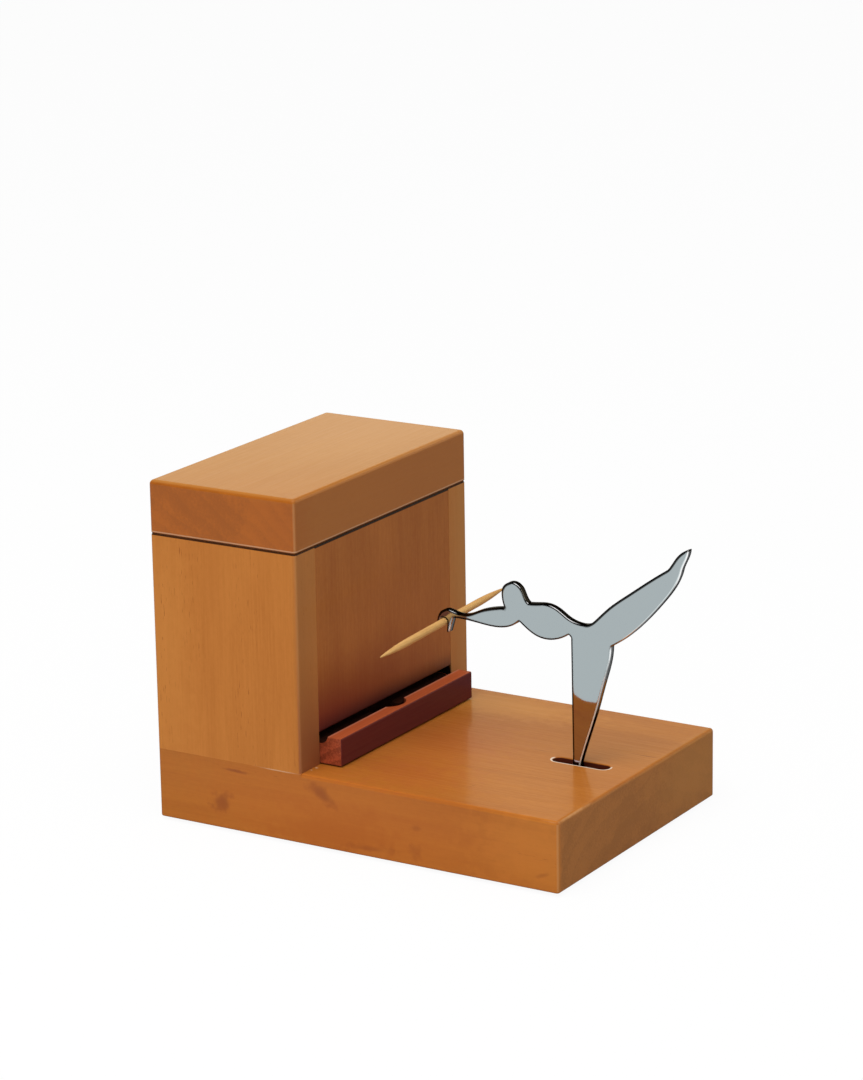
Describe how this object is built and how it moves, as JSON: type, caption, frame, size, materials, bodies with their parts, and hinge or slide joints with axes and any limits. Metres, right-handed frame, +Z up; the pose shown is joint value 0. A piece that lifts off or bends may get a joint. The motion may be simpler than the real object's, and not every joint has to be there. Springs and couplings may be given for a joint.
{
  "type": "toothpick dispenser",
  "caption": "Wooden toothpick dispenser: a magazine tower with a lift-off lid, a sliding tray and a tilting sheet steel dancer that bows to take a toothpick.",
  "frame": {"origin": "centre of the underside, on the surface that the dispenser stands on", "axes": "+X from the tower towards the figure, +Y across the base, +Z up"},
  "size_m": [0.1405, 0.088, 0.0965],
  "materials": {
    "base_wood": "satin lacquer",
    "side_wood": "satin lacquer",
    "front_wood": "satin lacquer",
    "back_wood": "satin lacquer",
    "lid_wood": "satin lacquer",
    "inner_wood": "planed, unfinished",
    "tray_wood": "dark red stain, gloss",
    "toothpick_wood": "plain",
    "dowel_wood": "plain",
    "polished_steel": "mirror polish",
    "bracket_steel": "zinc plated",
    "pin_steel": "ground",
    "rod_steel": "drawn wire",
    "spring_steel": "plain",
    "screw_steel": "zinc plated",
    "washer_plastic": "natural nylon",
    "cover_board": "hardboard",
    "felt_brown": "felt",
    "stop_felt": "felt"
  },
  "bodies": {
    "case": {"base_block": "base_wood", "near_side_panel": "side_wood", "far_side_panel": "side_wood", "front_panel": "front_wood", "back_panel": "back_wood", "hopper_ramp": "inner_wood", "tower_dowels": "dowel_wood", "tray_stop_felt": "stop_felt", "bottom_cover": "cover_board", "cover_screws": "screw_steel", "felt_pad": "felt_brown", "pivot_bracket": "bracket_steel", "bracket_screws": "screw_steel", "pivot_pin": "pin_steel", "pivot_clips": "spring_steel", "pivot_washers": "washer_plastic", "spring_anchor_screw": "screw_steel", "return_spring": "spring_steel"},
    "lid": {"lid_top": "lid_wood", "lid_plug": "inner_wood", "lid_screws": "screw_steel"},
    "tray": {"toothpick_tray": "tray_wood", "tray_drive_post": "pin_steel", "pull_rod": "rod_steel", "rod_rings": "washer_plastic"},
    "figure": {"dancer_figure": "polished_steel"},
    "held_toothpick": {"toothpick": "toothpick_wood"}
  },
  "joints": [
    {"name": "figure_tilt", "type": "hinge", "parent": "case", "child": "figure", "pos_m": [0.04445, 0, 0.0127], "axis": [0, -1, 0], "range_deg": [0, 29.5], "stiffness_Nm_per_rad": 0.03, "springref_deg": -14.32},
    {"name": "tray_slide", "type": "slide", "parent": "case", "child": "tray", "axis": [1, 0, 0], "range_m": [0, 0.0041], "deforming": ["return_spring"]},
    {"name": "lid_lift", "type": "slide", "parent": "case", "child": "lid", "axis": [0, 0, 1], "range_m": [0, 0.035]},
    {"name": "toothpick_pull", "type": "slide", "parent": "figure", "child": "held_toothpick", "axis": [0, -0.9994, -0.0349], "range_m": [0, 0.034]}
  ],
  "couplings": [
    {"joint": "tray_slide", "follows": "figure_tilt", "m_per_rad": 0.0077689}
  ]
}
